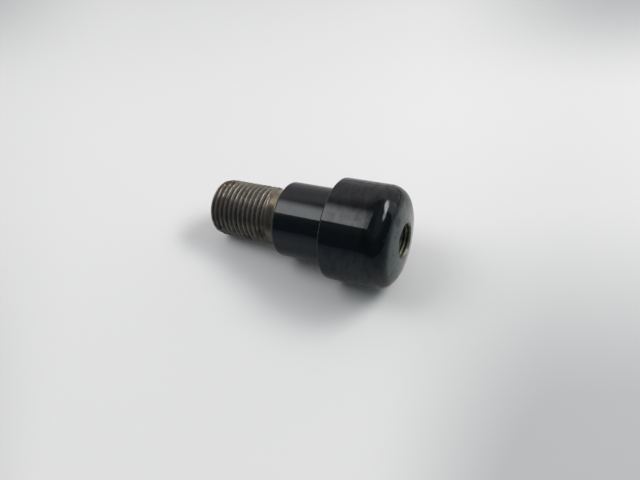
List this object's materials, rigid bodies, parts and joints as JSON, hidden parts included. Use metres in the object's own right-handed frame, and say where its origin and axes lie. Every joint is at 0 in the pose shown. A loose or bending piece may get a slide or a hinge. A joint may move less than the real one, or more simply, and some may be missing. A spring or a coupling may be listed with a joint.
{
  "type": "bar end weight",
  "caption": "Stepped round steel weight that screws into the end of a handlebar to damp vibration, with a crowned head and a tapped hole.",
  "frame": {"origin": "centre of the flat face at the end of the thread, which the part stands on", "axes": "+Z along the turning axis, from the threaded end to the crowned head; X and Y are any two directions across it"},
  "size_m": [0.0272, 0.0272, 0.0547],
  "materials": {
    "black_paint": "gloss black paint with rubbed streaks; the threaded end is bare, darkened steel with rust in the thread"
  },
  "bodies": {
    "root": {"bar_end_weight": "black_paint"}
  },
  "joints": []
}
